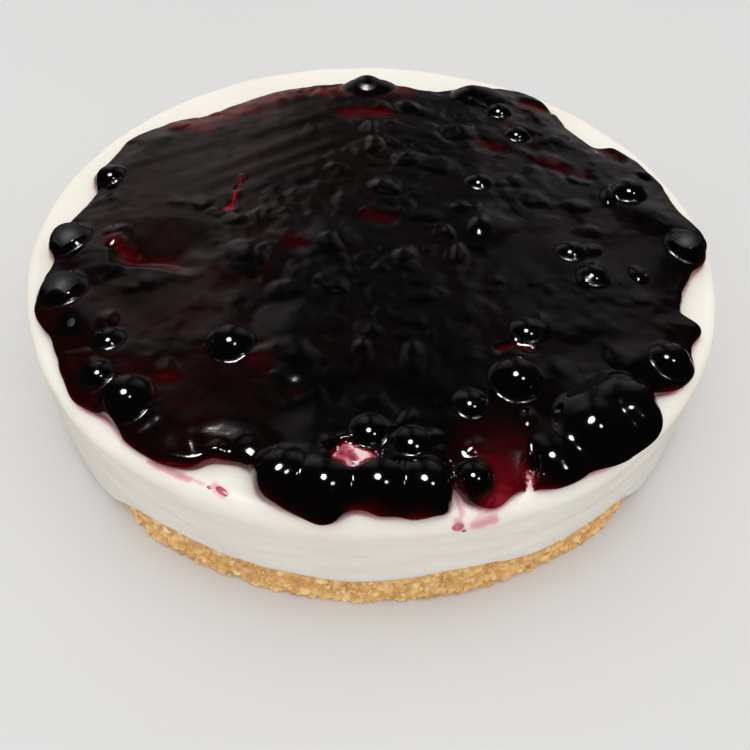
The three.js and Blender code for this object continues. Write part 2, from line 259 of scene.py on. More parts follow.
def from_axis(x, y):
    """Angle and distance of places from the axis."""
    return np.degrees(np.arctan2(y, x)), np.hypot(x, y)


def turned(x, y, angle):
    """Places as seen from a direction: along it and across it."""
    c, s = polar(angle, 1)
    return x * c + y * s, y * c - x * s


def repeatable(seed):
    """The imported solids' stream of numbers from 0 to 1."""
    state = seed
    while True:
        state = (state * 1664525 + 1013904223) % 4294967296
        yield state / 4294967296


def ripple(waves, numbers):
    """A closed ripple round the cake: a sum of waves, each with its own phase."""
    phased = [(count, height, 2 * math.pi * next(numbers)) for count, height in waves]
    return lambda angle: sum(
        height * np.sin(count * np.radians(angle) + phase) for count, height, phase in phased
    )


def lattice(x, y, z, seed):
    """A repeatable number from -1 to 1 for each whole-numbered place."""
    mask = 0xFFFFFFFF
    mixed = (x * 374761393 + y * 668265263 + z * 1274126177 + seed * 974634777) & mask
    mixed = ((mixed ^ (mixed >> 13)) * 1274126177) & mask
    return (mixed ^ (mixed >> 16)) / (mask / 2) - 1


# Turns the noise's lattice askew, so that its cells never line up with the cake
LATTICE_TURN = np.array(
    Matrix.Rotation(0.7, 3, "X") @ Matrix.Rotation(0.9, 3, "Y") @ Matrix.Rotation(0.4, 3, "Z")
)


def noise(points, size, seed):
    """Smooth noise from -1 to 1 at these points, with features of this size."""
    scaled = points @ LATTICE_TURN / size
    cell = np.floor(scaled).astype(np.int64)
    part = scaled - cell
    ease = part**3 * (part * (part * 6 - 15) + 10)
    total = np.zeros(len(points))
    for corner in itertools.product((0, 1), repeat=3):
        weight = np.prod(np.where(corner, ease, 1 - ease), axis=1)
        total += weight * lattice(*(cell + np.array(corner)).T, seed)
    return total


def rough_noise(points, size, seed):
    """Noise with finer noise on it."""
    return sum(noise(points, size / 2**k, seed + k) / 2**k for k in range(3))


def spots3(x, y):
    return np.stack([x, y, np.zeros_like(x)], axis=1)


waves = repeatable(WAVE_SEED)
rim_ripple = ripple(RIM_WAVES, waves)
wall_ripple = ripple(WALL_WAVES, waves)


def crumb_shows(angle):
    """1 where the crumb wall is bare, 0 where cream covers it down to the foot."""
    return np.max(
        [1 - smoothstep(degrees_apart(angle, mid), half - ARC_RAMP, half) for mid, half in CRUMB_ARCS],
        axis=0,
    )


def cream_foot(angle):
    """The cream's lower edge, and the height of the joint between crumb and cream behind it."""
    middle, height, width = CRUMB_RISE
    top = BASE_HEIGHT + height * np.exp(-((degrees_apart(angle, middle) / width) ** 2))
    shows = crumb_shows(angle)
    foot = lerp(CREAM_SKIRT_FOOT, top - LIP_DROP + rim_ripple(angle), shows)
    return foot, lerp(BASE_HEIGHT, top + LIP_DROP, shows)


def cream_radius(angle):
    return CAKE_RADIUS + wall_ripple(angle)


def crumb_radius(angle):
    return CAKE_RADIUS - lerp(COVERED_INSET, BARE_INSET, crumb_shows(angle))


def skirt_radius(angle):
    return crumb_radius(angle) + lerp(CRAG + GAP, -GAP, crumb_shows(angle))


def on_cream(angle, way, height):
    """Points of the cream's outer surface, and a height off it."""
    flat = cream_radius(angle) - TOP_EDGE_RADIUS
    over = np.maximum(way - flat, 0)
    bend = np.minimum(over / TOP_EDGE_RADIUS, math.pi / 2)
    down = over - bend * TOP_EDGE_RADIUS
    reach = TOP_EDGE_RADIUS + height
    x, y = polar(angle, np.minimum(way, flat) + reach * np.sin(bend))
    z = CREAM_TOP - TOP_EDGE_RADIUS + reach * np.cos(bend) - down
    return np.stack([x, y, z], axis=1)


def circle_angles(count):
    return np.arange(count) * 360 / count


def ring(angles, radius, z):
    """Points round the axis."""
    return np.stack([*polar(angles, radius), np.broadcast_to(z, len(angles))], axis=1)


# Meshes


def stitch(first_a, count_a, first_b, count_b):
    """Faces between two closed rings of points, a outside or below b, whatever their counts."""
    if count_a == count_b:
        for k in range(count_a):
            n = (k + 1) % count_a
            yield (first_a + k, first_a + n, first_b + n, first_b + k)
        return
    i = j = 0
    while i < count_a or j < count_b:
        if (i + 1) * count_b <= (j + 1) * count_a:
            yield (first_a + i % count_a, first_a + (i + 1) % count_a, first_b + j % count_b)
            i += 1
        else:
            yield (first_a + i % count_a, first_b + (j + 1) % count_b, first_b + j % count_b)
            j += 1


def ring_faces(counts):
    """Faces of a closed body of rings of points, from the middle of its underside, outwards, up and
    back to the middle of its top. A ring of one point closes each end."""
    faces = []
    first = 0
    for count, following in zip(counts, counts[1:]):
        after = first + count
        if count == 1:
            faces += [(first, after + (k + 1) % following, after + k) for k in range(following)]
        elif following == 1:
            faces += [(first + k, first + (k + 1) % count, after) for k in range(count)]
        else:
            faces += stitch(first, count, after, following)
        first = after
    return faces


def add_object(name, data):
    thing = bpy.data.objects.new(name, data)
    bpy.context.scene.collection.objects.link(thing)
    return thing


def make_object(name, points, faces, values=None):
    """A smooth mesh object from points in millimetres, with named values kept at its points."""
    mesh = bpy.data.meshes.new(name)
    mesh.from_pydata((np.asarray(points) * MM).tolist(), [], faces)
    mesh.polygons.foreach_set("use_smooth", [True] * len(mesh.polygons))
    for key, numbers in (values or {}).items():
        attribute = mesh.attributes.new(key, "FLOAT", "POINT")
        attribute.data.foreach_set("value", np.asarray(numbers, np.float32))
    mesh.validate()
    mesh.update()
    return add_object(name, mesh)


def closed_body(rings, low, high):
    """Points and faces of a body of rings, closed on the axis at these heights."""
    counts = [1, *(len(points) for points in rings), 1]
    return np.vstack([[0, 0, low], *rings, [0, 0, high]]), ring_faces(counts)


def dress(piece, material, slot, *nodes):
    """The piece takes its material and rides with the cake, in place of these solids."""
    piece.data.materials.append(material)
    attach(piece, "root")
    if nodes:
        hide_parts(*nodes)
    return piece


# Materials


class Graph:
    """A node tree, with short ways to add to it. A source is a node's output or a plain value."""

    def __init__(self, tree):
        self.nodes = tree.nodes
        self.links = tree.links
        self.places = self.nodes.new("ShaderNodeTexCoord").outputs

    def put(self, source, target):
        if isinstance(source, bpy.types.NodeSocket):
            self.links.new(source, target)
        else:
            target.default_value = source

    def add(self, kind, output, sources, **settings):
        """A new node's output, from sources for its inputs by name or number."""
        node = self.nodes.new("ShaderNode" + kind)
        for key, setting in settings.items():
            setattr(node, key, setting)
        for key, source in sources.items():
            self.put(source, node.inputs[key])
        return node.outputs[output]

    def spread(self, source, low, high, to_low=0, to_high=1):
        limits = {"From Min": low, "From Max": high, "To Min": to_low, "To Max": to_high}
        return self.add("MapRange", "Result", {"Value": source, **limits})

    def ramp(self, source, stops):
        """Colours along a ramp: place, then linear red, green and blue."""
        output = self.add("ValToRGB", "Color", {"Fac": source})
        elements = output.node.color_ramp.elements
        while len(elements) < len(stops):
            elements.new(0.5)
        for element, (place, *colour) in zip(elements, stops):
            element.position = place
            element.color = (*colour, 1)
        return output

    def mix(self, share, a, b, blend="MIX"):
        """Colour a turning to colour b."""
        return self.add("Mix", 2, {0: share, 6: a, 7: b}, data_type="RGBA", blend_type=blend)


class Surface(Graph):
    """A material, by its shader's inputs and what goes into them."""

    def __init__(self, name, roughness, ior):
        self.material = bpy.data.materials.new(name)
        self.material.use_nodes = True
        super().__init__(self.material.node_tree)
        self.inputs = self.nodes["Principled BSDF"].inputs
        self.inputs["Roughness"].default_value = roughness
        self.inputs["IOR"].default_value = ior

    def noise(self, size_mm, detail=4):
        """Noise with features of this size."""
        scale = 1 / (size_mm * MM)
        sources = {"Vector": self.places["Object"], "Scale": scale, "Detail": detail}
        return self.add("TexNoise", "Fac", sources)

    def value(self, name):
        return self.add("Attribute", "Fac", {}, attribute_name=name)

    def total(self, a, b):
        return self.add("Math", "Value", {0: a, 1: b}, operation="ADD")

    def colour(self, source):
        self.put(source, self.inputs["Base Color"])

    def bump(self, source, depth_mm, strength):
        sources = {"Height": source, "Distance": depth_mm * MM, "Strength": strength}
        self.put(self.add("Bump", "Normal", sources), self.inputs["Normal"])


def cream_material():
    """Matt whipped cream, a little translucent, stained pink where juice ran on it."""
    surface = Surface("cream", roughness=0.5, ior=1.4)
    surface.inputs["Subsurface Weight"].default_value = 0.35
    surface.inputs["Subsurface Radius"].default_value = (1.0, 0.75, 0.5)
    surface.inputs["Subsurface Scale"].default_value = 3 * MM
    plain = surface.ramp(surface.noise(28), [(0.3, 0.835, 0.785, 0.70), (0.7, 0.88, 0.84, 0.765)])
    pink = surface.ramp(surface.value("juice"), [
        (0.0, 0.90, 0.86, 0.80), (0.35, 0.75, 0.38, 0.42), (0.7, 0.45, 0.08, 0.13),
        (1.0, 0.22, 0.01, 0.03),
    ])
    stained = surface.spread(surface.value("juice"), 0.02, 0.2)
    surface.colour(surface.mix(stained, plain, pink))
    surface.bump(surface.noise(2.2, detail=5), 0.12, 0.5)
    return surface.material


def crumb_material():
    """Pressed biscuit crumbs bound with butter: each crumb has its own tone."""
    surface = Surface("crumb", roughness=0.8, ior=1.45)
    uneven = surface.spread(surface.noise(0.9), 0.3, 0.7, -0.12, 0.12)
    plain = surface.ramp(surface.total(surface.value("tone"), uneven), [
        (0.0, 0.43, 0.18, 0.05), (0.25, 0.68, 0.37, 0.12), (0.55, 0.86, 0.53, 0.21),
        (0.85, 0.94, 0.67, 0.32), (1.0, 0.95, 0.76, 0.46),
    ])
    toasted = surface.spread(surface.noise(9, detail=3), 0.5, 0.68, 0, 0.6)
    surface.colour(surface.mix(toasted, plain, (0.64, 0.28, 0.08, 1)))
    surface.bump(surface.noise(0.5, detail=6), 0.25, 0.8)
    return surface.material


def compote_material():
    """Dark glossy fruit gel: wine red where it is thin over the cream, nearly black where deep."""
    surface = Surface("compote", roughness=0.08, ior=1.45)
    uneven = surface.spread(surface.noise(5), 0.3, 0.7, -0.5, 0.5)
    depth = surface.total(surface.value("depth"), uneven)
    surface.colour(surface.ramp(surface.spread(depth, 0, DEEP), [
        (0.0, 0.82, 0.62, 0.63), (0.03, 0.55, 0.14, 0.19), (0.08, 0.26, 0.014, 0.03),
        (0.22, 0.09, 0.0008, 0.003), (0.40, 0.03, 0.0005, 0.001), (0.62, 0.009, 0.0006, 0.0008),
        (0.85, 0.0025, 0.0008, 0.0008), (1.0, 0.0012, 0.0009, 0.0009),
    ]))
    gloss = surface.spread(surface.noise(7), 0.35, 0.7, 0.06, 0.13)
    dull = surface.spread(surface.value("dull"), 0, 1, 0, 0.22)
    surface.put(surface.total(gloss, dull), surface.inputs["Roughness"])
    surface.bump(surface.noise(1.6, detail=3), 0.04, 0.6)
    return surface.material


def berry_material():
    """Blue-black berry skin under a coat of gel."""
    surface = Surface("berry", roughness=0.6, ior=1.45)
    surface.colour(surface.ramp(surface.noise(4), [
        (0.3, 0.0008, 0.0008, 0.0012), (0.6, 0.0016, 0.0016, 0.0026), (0.8, 0.003, 0.0012, 0.002),
    ]))
    surface.bump(surface.noise(1.2, detail=3), 0.05, 0.6)
    return surface.material


def juice_material():
    surface = Surface("juice", roughness=0.1, ior=1.4)
    surface.colour(surface.ramp(surface.noise(2), [(0.3, 0.42, 0.075, 0.12), (0.7, 0.6, 0.17, 0.24)]))
    return surface.material


# Where things lie


def curve_outline(split):
    """The compote's outline as a closed smooth curve: angles and ways of its points."""
    corners = np.stack(polar(*np.array(COMPOTE_OUTLINE, float).T), axis=1)
    before, after, beyond = (np.roll(corners, shift, axis=0) for shift in (1, -1, -2))
    spans = [
        np.sum((b - a) ** 2, axis=1, keepdims=True) ** 0.25
        for a, b in ((before, corners), (corners, after), (after, beyond))
    ]
    first, own, last = spans
    step = after - corners
    here = ((corners - before) / first - (after - before) / (first + own)) * own + step
    there = ((beyond - after) / last - (beyond - corners) / (own + last)) * own + step
    points = []
    for part in np.arange(split) / split:
        cube = 2 * part**3 - 3 * part**2
        points.append(
            (cube + 1) * corners
            - cube * after
            + (part**3 - 2 * part**2 + part) * here
            + (part**3 - part**2) * there
        )
    return from_axis(*np.stack(points, axis=1).reshape(-1, 2).T)


OUTLINE_ANGLES, OUTLINE_WAYS = curve_outline(OUTLINE_SPLIT)
OUTLINE_TREE = KDTree(len(OUTLINE_ANGLES))
for index, (x, y) in enumerate(zip(*polar(OUTLINE_ANGLES, OUTLINE_WAYS))):
    OUTLINE_TREE.insert((x, y, 0), index)
OUTLINE_TREE.balance()


def outline_way(angle):
    return np.interp(angle, OUTLINE_ANGLES, OUTLINE_WAYS, period=360)


def outline_distance(x, y):
    """Distance of spots from the compote's outline, on either side."""
    return np.array([OUTLINE_TREE.find((a, b, 0))[2] for a, b in zip(x, y)])


def from_segment(x, y, x0, y0, x1, y1):
    """Distance of spots from a straight stretch."""
    along, across = x1 - x0, y1 - y0
    share = np.clip(((x - x0) * along + (y - y0) * across) / max(along**2 + across**2, 1e-9), 0, 1)
    return np.hypot(x - x0 - share * along, y - y0 - share * across)


def in_ellipse(x, y, middle_x, middle_y, half_length, half_width, turn):
    """0 at an ellipse's middle, 1 on its edge."""
    along, across = turned(x - middle_x, y - middle_y, turn)
    return np.hypot(along / half_length, across / half_width)


def find_berries():
    """Each whole berry's node, middle, radius and half height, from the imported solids."""
    berries = []
    for node in sorted(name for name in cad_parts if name.startswith("berry_")):
        low, high = (np.array(corner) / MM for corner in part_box(node))
        number = int(node.split("_")[1])
        half_height = (high - low)[2] / 2 * SQUASH.get(number, BURIED_SQUASH if number in BURIED else 1)
        middle = (*((low + high) / 2)[:2], low[2] + half_height)
        berries.append((node, np.array(middle), (high - low)[:2].mean() / 2, half_height))
    return berries


def is_free(x, y, radius, clearance, taken):
    return all(math.hypot(x - a, y - b) > clearance * (radius + r) for a, b, r in taken)


def place_sunken(taken):
    """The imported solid's sunken berries: x, y, radius and height over the glaze."""
    numbers = repeatable(SUNKEN_SEED)
    edge_x, edge_y = polar(*curve_outline(SOLID_SPLIT))
    sunken = []
    for _ in range(MAX_TRIES):
        if len(sunken) == SUNKEN_COUNT:
            break
        radius = lerp(*SUNKEN_RADIUS, next(numbers))
        distance = (SUNKEN_FIELD - radius) * math.sqrt(next(numbers))
        height = lerp(*SUNKEN_HEIGHT, next(numbers))
        x, y = polar(360 * next(numbers), distance)
        next(numbers)  # its turn
        free = is_free(x, y, radius, SUNKEN_CLEARANCE, taken)
        if free and np.hypot(x - edge_x, y - edge_y).min() > radius + SUNKEN_EDGE:
            taken = [*taken, (x, y, radius)]
            sunken.append((x, y, radius, height))
    return sunken


# The glaze's surface

LUMP_COUNT = 80
LUMP_RADIUS = (3.5, 8)
LUMP_RISE = (0.15, 0.6)
MAIN_SHARE = 0.85  # of the main lumps' rise
LUMPS_SHARE = (0.35, 0.66)  # how much of their rise lumps have at the front, and at the back
FRONT_TO_BACK = (-100, 60)
LEFT_TO_RIGHT = (-80, 20)
SUNKEN_SHARE = 0.2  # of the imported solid's sunken berries' height
LUMP_TOP = 0.3  # where a lump's nearly flat top ends, of its half width
LUMP_JOIN = 3  # how sharply lumps that overlap keep apart
LUMP_CLEARANCE = 0.65  # the share of their radii that their middles are apart at least
LUMP_EDGE = 0.5  # how far they keep from the outline
PULP_COUNT = 240
PULP_RADIUS = (1, 2.6)
PULP_RISE = (0.04, 0.15)
TERRACE_SIZE = 9  # of the flat steps that the gel set in
TERRACE_RISE = 0.6
WARP = 1.8  # how far the lumps' outlines wander
WARP_SIZE = 8


def flat_topped(share):
    return 1 - smoothstep(share, LUMP_TOP, 1)


def rounded(share):
    return np.maximum(1 - share**2, 0) ** 1.25


def smooth_max(a, b, fillet):
    near = np.maximum(fillet - np.abs(a - b), 0) / fillet
    return np.maximum(a, b) + near**2 * fillet / 4


def crease(a, b):
    """1 where two surfaces meet, 0 well off."""
    return 1 - smoothstep(np.abs(a - b), 0.3 * CREASE_WIDTH, CREASE_WIDTH)


def draped(share):
    """Height of gel that lies over a ball of radius 1: its crown, then an even slope down."""
    root = math.sqrt(1 - DRAPE_TURN**2)
    crown = np.sqrt(np.maximum(1 - share**2, 0))
    foot = root - DRAPE_TURN / root * (share - DRAPE_TURN)
    return np.where(share < DRAPE_TURN, crown, foot)


def lump(random, x, y, radius, rise):
    """An oval lump: middle, half length and width, turn and rise."""
    long = radius * random.uniform(1, 1.4)
    return (x, y, long, radius**2 / long, random.uniform(0, 180), rise)


def scatter(random, count, radii, rises, taken):
    """Lumps apart from each other, from what is there and from the outline."""
    placed = []
    for _ in range(MAX_TRIES):
        if len(placed) == count:
            break
        radius = random.uniform(*radii)
        angle = random.uniform(0, 360)
        x, y = polar(angle, outline_way(angle) * math.sqrt(random.random()))
        free = is_free(x, y, radius, LUMP_CLEARANCE, taken + placed)
        if free and OUTLINE_TREE.find((x, y, 0))[2] > LUMP_EDGE + radius:
            placed.append((x, y, radius))
    return [lump(random, *place, random.uniform(*rises)) for place in placed]


def make_lumps(berries):
    """Lumps under the gel, small pulp in it, and small round lumps on it."""
    random = np.random.default_rng(5)
    taken = [(*middle[:2], radius) for _, middle, radius, _ in berries]
    lumps = [(x, y, long, wide, 0, MAIN_SHARE * rise) for x, y, long, wide, rise in MAIN_LUMPS]
    for *place, height in place_sunken(taken):
        lumps.append(lump(random, *place, SUNKEN_SHARE * height))
    taken += [(x, y, (long + wide) / 3) for x, y, long, wide, _ in MAIN_LUMPS]
    lumps += scatter(random, LUMP_COUNT, LUMP_RADIUS, LUMP_RISE, taken)
    pulp = scatter(random, PULP_COUNT, PULP_RADIUS, PULP_RISE, [])
    glints = [
        lump(random, x, y, random.uniform(*GLINT_RADIUS), random.uniform(*GLINT_RISE))
        for x, y in GLINTS
    ]
    return lumps, pulp, glints


def lumps_height(x, y, lumps, profile):
    """How high lumps rise, from their profile: its height by the share of the way to their rim."""
    total = np.zeros_like(x)
    for *middle, half_length, half_width, turn, rise in lumps:
        near = np.hypot(x - middle[0], y - middle[1]) < max(half_length, half_width)
        away = in_ellipse(x[near], y[near], *middle, half_length, half_width, turn)
        total[near] += (rise * profile(away)) ** LUMP_JOIN
    return total ** (1 / LUMP_JOIN)


def strokes(x, y):
    """Long low ridges that the spatula left."""
    along, across = turned(x, y, CALM_FIELDS[0][-1])
    return 0.2 * noise(spots3(along / 7, across + 0.02 * along), 5, 21)


def add_scoop(level, seen, x, y, middle_x, middle_y, half_length, back, front, depth, turn, *lights):
    """An even slope down towards the front, cut into the gel."""
    at = spots3(x, y)
    along, up = turned(x - middle_x, y - middle_y, turn)
    along = np.abs(along) * (1 + 0.2 * noise(at, 9, 15))
    up += 1.2 * noise(at, 8, 16)
    slope = np.where(up > 0, 1 - up / back, 1 + up / front).clip(0, 1)
    share = 1 - smoothstep(along, 0.35 * half_length, 1.45 * half_length)
    covered = share * smoothstep(slope, 0, 0.35)
    light = lerp(*lights, np.clip(up / back, 0, 1))
    return level - depth * slope * share, lerp(seen, np.minimum(seen, light), covered)


def add_thin_spot(level, seen, x, y, x0, y0, x1, y1, width, left, light):
    distance = from_segment(x, y, x0, y0, x1, y1) * (1 + 0.25 * noise(spots3(x, y), 4, 17))
    share = 1 - smoothstep(distance, 0.1 * width, 1.3 * width)
    level = level - (GEL_DEPTH - left - THIN_TILT * (y - (y0 + y1) / 2)) * share
    return level, lerp(seen, np.minimum(seen, light), share)


def add_mound(level, seen, x, y, *place):
    *ends, half_width, height = place
    at = spots3(x, y)
    share = from_segment(x, y, *ends) / half_width * (1 + 0.12 * noise(at, 9, 45))
    dome = (1 + MOUND_SINK) * np.sqrt(np.maximum(1 - share**2, 0)) - MOUND_SINK
    level = smooth_max(level, height * dome + 0.5 * noise(at, 7, 46), MOUND_FILLET)
    return level, lerp(seen, np.maximum(seen, DEEP), 1 - smoothstep(share, 0.6, 1))


def back_band(x, y, edge_distance):
    """The gel that light meets along the back left edge, which is thin enough to look pink."""
    middle, half, depth, light = BACK_BAND
    share = 1 - smoothstep(degrees_apart(from_axis(x, y)[0], middle), half - 10, half)
    uneven = edge_distance * (1 + 0.35 * noise(spots3(x, y), 7, 19))
    return lerp(9, lerp(light, 5, smoothstep(uneven, 0.5 * depth, 1.4 * depth)), share)


def glaze_height(x, y, edge_distance, berries):
    """Height of the compote over the cream, how much of it light meets, and how dull it is."""
    lumps, pulp, glints = make_lumps(berries)
    at = spots3(x, y)
    inner = smoothstep(edge_distance, 0, EDGE_WIDTH)
    level = lerp(GEL_EDGE_DEPTH, GEL_DEPTH, inner)
    level += 0.25 * noise(at, 30, 3) + 0.1 * noise(at, 12, 4) * inner
    fields = np.min([in_ellipse(x, y, *field) for field in CALM_FIELDS], axis=0)
    calm = lerp(CALM_SHARE, 1, smoothstep(fields, 0.7, 1.2))
    level += strokes(x, y) * (1 - smoothstep(in_ellipse(x, y, *CALM_FIELDS[0]), 0.6, 1.3))
    warped = x + WARP * noise(at, WARP_SIZE, 31), y + WARP * noise(at, WARP_SIZE, 32)
    rough = calm * (1 + 0.3 * noise(at, 6, 33)) * lerp(*LUMPS_SHARE, smoothstep(y, *FRONT_TO_BACK))
    level += lumps_height(*warped, lumps, flat_topped) * rough
    pulpy = lerp(PULP_LEFT, 1, smoothstep(x, -50, 10)) * calm
    level += lumps_height(*warped, pulp, flat_topped) * pulpy
    broken = noise(spots3(*warped), TERRACE_SIZE, 23) + 0.6 * noise(at, 0.4 * TERRACE_SIZE, 24)
    level += TERRACE_RISE * smoothstep(broken, -0.6, 0.6) * rough
    level += 0.015 * rough_noise(at, 3, 11) * calm
    seen = level + SEEN_MORE + 0.8 * noise(at, 22, 13) + 0.5 * noise(at, 6, 14)
    seen -= LEFT_THINNER * (1 - smoothstep(x, *LEFT_TO_RIGHT))
    seen += (GEL_DEPTH - GEL_EDGE_DEPTH) * (1 - inner)
    level += GEL_HEAP * smoothstep(edge_distance, *HEAP_WIDTH)
    for scoop in SCOOPS:
        level, seen = add_scoop(level, seen, x, y, *scoop)
    for spot in THIN_SPOTS:
        level, seen = add_thin_spot(level, seen, x, y, *spot)
    seen = np.minimum(seen, back_band(x, y, edge_distance))
    level += lumps_height(x, y, glints, rounded)
    for mound in MOUNDS:
        level, seen = add_mound(level, seen, x, y, *mound)
    level, seen = cover_window(level, seen, x, y)
    return cover_berries(level, seen, x, y, edge_distance, berries)


def cover_berries(level, seen, x, y, edge_distance, berries):
    """Gel lies over each whole berry, and leaves the dull ones' crowns bare. Skin and pulp make it
    dull where it meets one."""
    dull = np.zeros_like(x)
    for number, (_, middle, radius, half_height) in enumerate(berries, 1):
        share = np.hypot(x - middle[0], y - middle[1]) / (radius + FILM_BESIDE)
        near = share < DRAPE_REACH
        if number in BURIED:
            level[near] += BURIED_SWELL * (1 - smoothstep(share[near], 0, BURIED_REACH))
        else:
            film = DULL_FILM if number in DULL else FILM_OVER
            dome = middle[2] - CREAM_TOP + (half_height + film) * draped(share[near])
            swell = 1 - smoothstep(share[near], *BERRY_SWELL_REACH)
            swell *= smoothstep(edge_distance[near], *SWELL_EDGE)
            around = level[near] + BERRY_SWELL * swell
            if number not in CROWD:
                dull[near] = np.maximum(dull[near], crease(around, dome))
            level[near] = smooth_max(around, dome, CROWD_FILLET if number in CROWD else BERRY_FILLET)
        seen = lerp(seen, np.maximum(seen, DEEP), 1 - smoothstep(share, 0.8, 1.3))
    return level, seen, dull


def from_windows(x, y):
    """Distance of spots outside the places where cream shows through, and how high cream swells."""
    away = np.full_like(x, 99)
    height = np.zeros_like(x)
    uneven = 0.4 * noise(spots3(x, y), 2.5, 41)
    for *window, rise in CREAM_WINDOWS:
        outside = (in_ellipse(x, y, *window) - 1) * window[3] + uneven
        away = np.minimum(away, outside)
        height = np.maximum(height, rise * (1 - smoothstep(outside, *WINDOW_SLOPE)))
    return away, height


def cover_window(level, seen, x, y):
    """The gel's height, brought down into the cream where cream shows through."""
    away, cream = from_windows(x, y)
    bead = np.sqrt(1 - (1 - np.clip(away / WINDOW_BEAD, 0, 1)) ** 2)
    top = np.maximum(level, cream + WINDOW_LIP)
    covered = np.where(away < 0, cream - WINDOW_SINK, lerp(cream - WINDOW_LIP, top, bead))
    return covered, np.minimum(seen, 0.1 + np.maximum(away, 0) * 5)


def glaze_rows():
    """Rings of spots, from the underside over the edge to the middle of the top. Each has angles,
    ways and the share of the gel's height that it stands at."""
    edge_angles = circle_angles(round(2 * math.pi * 108 / GLAZE_STEP))
    edge = outline_way(edge_angles) + 0.35 * noise(ring(edge_angles, 112, 0), 5, 51)
    few = circle_angles(len(edge_angles) // 4)
    rows = [(few, outline_way(few) - 20, 0), (edge_angles, edge - 8, 0)]
    foot = math.radians(BEAD_FOOT)
    for turn in np.linspace(-foot, math.pi / 2, BEAD_STEPS):
        inset = BEAD_WIDTH * (1 - math.cos(turn))
        share = (math.sin(turn) + math.sin(foot)) / (1 + math.sin(foot))
        rows.append((edge_angles, edge - inset, share))
    inner_edge = edge - BEAD_WIDTH
    window = np.hanning(len(edge_angles) // 12)
    wrapped = np.tile(inner_edge, 3)
    plain = np.convolve(wrapped, window / window.sum(), "same")[len(edge):2 * len(edge)]
    mean = inner_edge.mean()
    for inset in np.arange(1, round(mean / GLAZE_STEP)) / round(mean / GLAZE_STEP):
        share = 1 - inset
        angles = circle_angles(max(8, round(2 * math.pi * mean * share / GLAZE_STEP)))
        reach = lerp(plain, inner_edge, smoothstep(share, 0.8, 1))
        rows.append((angles, np.interp(angles, edge_angles, reach, period=360) * share, 1))
    return rows


def make_compote(berries):
    rows = glaze_rows()
    angles = np.concatenate([angles for angles, _, _ in rows])
    ways = np.concatenate([ways for _, ways, _ in rows])
    shares = np.concatenate([np.full(len(angles), float(share)) for angles, _, share in rows])
    x, y = polar(angles, ways)
    distance = outline_distance(x, y)
    level, seen, dull = glaze_height(x, y, distance, berries)
    points = on_cream(angles, ways, lerp(-SUNK_INTO_CREAM, level, shares))
    margin = EDGE_RED * (1 + 0.6 * noise(spots3(x, y), 9, 55))
    start, growth, power = EDGE_SEEN
    edge_depth = start + growth * (distance / margin) ** power
    depth = np.min([seen, edge_depth, LEVEL_SEEN[0] + LEVEL_SEEN[1] * level], axis=0)
    values = {
        "depth": np.concatenate([[0], depth, [depth[-8:].mean()]]),
        "dull": np.concatenate([[0], dull, [0]]),
    }
    rings = np.split(points, np.cumsum([len(angles) for angles, _, _ in rows])[:-1])
    body = closed_body(rings, CREAM_TOP - SUNK_INTO_CREAM, points[-8:, 2].mean())
    return dress(make_object("compote_glaze", *body, values), compote_material(), "compote", "compote")


# Cream

JUICE_MARKS = [  # x0, y0, x1, y1, half width, strength
    (-55.2, -97.5, -44.1, -102.4, 0.9, 0.5),
    (-44.1, -102.4, -40, -104, 0.5, 0.35),
    (21.5, -102, 23.7, -110, 0.8, 0.4),
    (22.8, -112.4, 23.6, -113.6, 1.5, 0.42),
    (27, -112.6, 31.5, -111, 1.7, 0.4),
    (-37.5, -104.4, -35, -106, 1.2, 0.4),
]


def make_cream():
    angles = circle_angles(CREAM_STEPS)
    flat = cream_radius(angles) - TOP_EDGE_RADIUS
    foot, joint = cream_foot(angles)
    skirt = skirt_radius(angles)
    ragged = rough_noise(ring(angles, CAKE_RADIUS, 0), 3.2, 61)
    foot = foot + 0.3 * ragged * crumb_shows(angles)
    few = circle_angles(CREAM_STEPS // 4)
    rings = [
        ring(few, 60, BASE_HEIGHT + GAP / 2),
        ring(angles, INTERFACE_RADIUS, BASE_HEIGHT + GAP / 2),
        ring(angles, skirt, joint + GAP / 2),
        ring(angles, skirt, lerp(joint, foot, 0.5)),
        ring(angles, skirt, foot + 0.1),
    ]
    for turn in np.linspace(0, math.pi / 2, 5):
        out = cream_radius(angles) - LIP_RADIUS * (1 - math.sin(turn))
        rings.append(ring(angles, out, foot + LIP_RADIUS * (1 - math.cos(turn))))
    wall_top = CREAM_TOP - TOP_EDGE_RADIUS
    for share in np.arange(1, 31) / 31:
        rings.append(ring(angles, cream_radius(angles), lerp(foot + LIP_RADIUS, wall_top, share)))
    quarter = TOP_EDGE_RADIUS * math.pi / 2
    for share in np.linspace(1, 0, 10):
        rings.append(on_cream(angles, flat + quarter * share, 0))
    for inset in np.arange(0.8, 26, 0.8):
        rings.append(on_cream(angles, flat - inset, 0))
    rings.append(on_cream(few, np.full(len(few), 60.0), 0))
    points, faces = closed_body(rings, BASE_HEIGHT + GAP / 2, CREAM_TOP)
    points = uneven_cream(points)
    piece = make_object("cream_body", points, faces, {"juice": juice_on_cream(points)})
    return dress(piece, cream_material(), "cream", "cream_layer")


